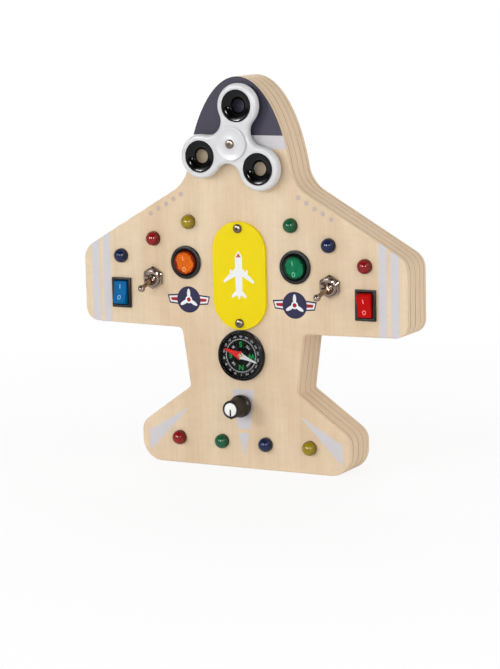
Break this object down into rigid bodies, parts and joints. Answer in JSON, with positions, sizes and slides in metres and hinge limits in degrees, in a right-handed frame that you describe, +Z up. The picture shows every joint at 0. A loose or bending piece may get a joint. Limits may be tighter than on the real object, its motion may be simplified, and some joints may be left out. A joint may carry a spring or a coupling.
{
  "type": "wooden busy board",
  "caption": "Plane-shaped wooden busy board with a spinner, toggle and rocker switches, lamps, a compass, a dimmer knob and a battery box.",
  "frame": {"origin": "middle of the bottom edge, half way through the thickness", "axes": "+X right as the front is seen, the front looks along -Y, +Z up towards the nose"},
  "size_m": [0.25, 0.0504, 0.27],
  "materials": {
    "birch_ply": "lacquered birch ply",
    "zinc_steel": "zinc plated",
    "white_plastic": "moulded, satin",
    "black_plastic": "moulded, glossy",
    "bearing_steel": "ground",
    "brass_sheet": "pressed sheet",
    "yellow_plate": "printed, satin",
    "dial_black": "printed",
    "clear_lens": "clear",
    "needle_red": "painted",
    "brass": "turned",
    "knob_black": "moulded, ribbed",
    "chrome": "nickel plated",
    "case_black": "moulded",
    "orange_plastic": "moulded, glossy",
    "green_plastic": "moulded, glossy",
    "blue_plastic": "moulded, glossy",
    "red_plastic": "moulded, glossy",
    "lamp_red": "diffused lens",
    "lamp_blue": "diffused lens",
    "lamp_green": "diffused lens",
    "lamp_yellow": "diffused lens",
    "board_green": "lacquered",
    "cell_sleeve": "printed sleeve",
    "wire_sheath": "soft sheath"
  },
  "bodies": {
    "board": {"front_panel": "birch_ply", "frame_front": "birch_ply", "frame_middle": "birch_ply", "frame_rear": "birch_ply", "back_panel": "birch_ply", "back_screws": "zinc_steel", "spinner_inner_race": "bearing_steel", "spinner_cap": "white_plastic", "spinner_rear_cap": "white_plastic", "spinner_screw": "zinc_steel", "spinner_nut": "zinc_steel", "badge_plate": "yellow_plate", "badge_screws": "zinc_steel", "badge_nuts": "zinc_steel", "compass_case": "black_plastic", "compass_dial": "dial_black", "compass_lens": "clear_lens", "compass_pivot": "zinc_steel", "dimmer_case": "zinc_steel", "dimmer_washer": "zinc_steel", "dimmer_nut": "zinc_steel", "toggle_bushes": "chrome", "toggle_cases": "case_black", "toggle_washers": "chrome", "toggle_nuts": "chrome", "orange_rocker_case": "black_plastic", "green_rocker_case": "black_plastic", "blue_rocker_case": "black_plastic", "red_rocker_case": "black_plastic", "switch_terminals": "zinc_steel", "lamps_red": "lamp_red", "lamps_blue": "lamp_blue", "lamps_green": "lamp_green", "lamps_yellow": "lamp_yellow", "lamp_leads": "zinc_steel", "control_board": "board_green", "board_posts": "white_plastic", "board_parts": "case_black", "battery_box": "case_black", "batteries": "cell_sleeve", "battery_contacts": "zinc_steel", "wiring": "wire_sheath"},
    "spinner": {"spinner_body": "white_plastic", "spinner_rings": "black_plastic", "spinner_outer_race": "bearing_steel"},
    "ball_cage": {"spinner_balls": "bearing_steel", "spinner_cage": "brass_sheet"},
    "toggle_left": {"toggle_left_lever": "chrome"},
    "toggle_right": {"toggle_right_lever": "chrome"},
    "orange_rocker": {"orange_rocker_button": "orange_plastic"},
    "green_rocker": {"green_rocker_button": "green_plastic"},
    "blue_rocker": {"blue_rocker_button": "blue_plastic"},
    "red_rocker": {"red_rocker_button": "red_plastic"},
    "knob": {"knob_body": "knob_black", "knob_cap": "white_plastic", "knob_shaft": "white_plastic"},
    "needle": {"compass_needle": "needle_red", "compass_hub": "brass"},
    "battery_cover": {"battery_lid": "case_black", "lid_screw": "zinc_steel"}
  },
  "joints": [
    {"name": "spinner_spin", "type": "hinge", "parent": "board", "child": "spinner", "pos_m": [0, -0.021, 0.2252], "axis": [0, 1, 0], "continuous": true},
    {"name": "ball_cage_spin", "type": "hinge", "parent": "board", "child": "ball_cage", "pos_m": [0, -0.021, 0.2252], "axis": [0, 1, 0], "continuous": true},
    {"name": "toggle_left_flip", "type": "hinge", "parent": "board", "child": "toggle_left", "pos_m": [-0.0684, -0.0159, 0.1302], "axis": [1, 0, 0], "range_deg": [-36, 0]},
    {"name": "toggle_right_flip", "type": "hinge", "parent": "board", "child": "toggle_right", "pos_m": [0.0684, -0.0159, 0.1302], "axis": [1, 0, 0], "range_deg": [-36, 0]},
    {"name": "orange_rocker_tip", "type": "hinge", "parent": "board", "child": "orange_rocker", "pos_m": [-0.0423, -0.016, 0.142], "axis": [1, 0, 0], "range_deg": [-25, 0]},
    {"name": "green_rocker_tip", "type": "hinge", "parent": "board", "child": "green_rocker", "pos_m": [0.0423, -0.016, 0.142], "axis": [1, 0, 0], "range_deg": [-25, 0]},
    {"name": "blue_rocker_tip", "type": "hinge", "parent": "board", "child": "blue_rocker", "pos_m": [-0.0945, -0.016, 0.1187], "axis": [1, 0, 0], "range_deg": [0, 25]},
    {"name": "red_rocker_tip", "type": "hinge", "parent": "board", "child": "red_rocker", "pos_m": [0.0945, -0.016, 0.1187], "axis": [1, 0, 0], "range_deg": [-25, 0]},
    {"name": "knob_turn", "type": "hinge", "parent": "board", "child": "knob", "pos_m": [0, -0.02, 0.0445], "axis": [0, 1, 0], "range_deg": [0, 300]},
    {"name": "needle_spin", "type": "hinge", "parent": "board", "child": "needle", "pos_m": [0, -0.0175, 0.0793], "axis": [0, 1, 0], "continuous": true},
    {"name": "battery_cover_off", "type": "slide", "parent": "board", "child": "battery_cover", "axis": [0, 1, 0], "range_m": [0, 0.02]}
  ],
  "couplings": [
    {"joint": "ball_cage_spin", "follows": "spinner_spin", "ratio": 0.632}
  ]
}
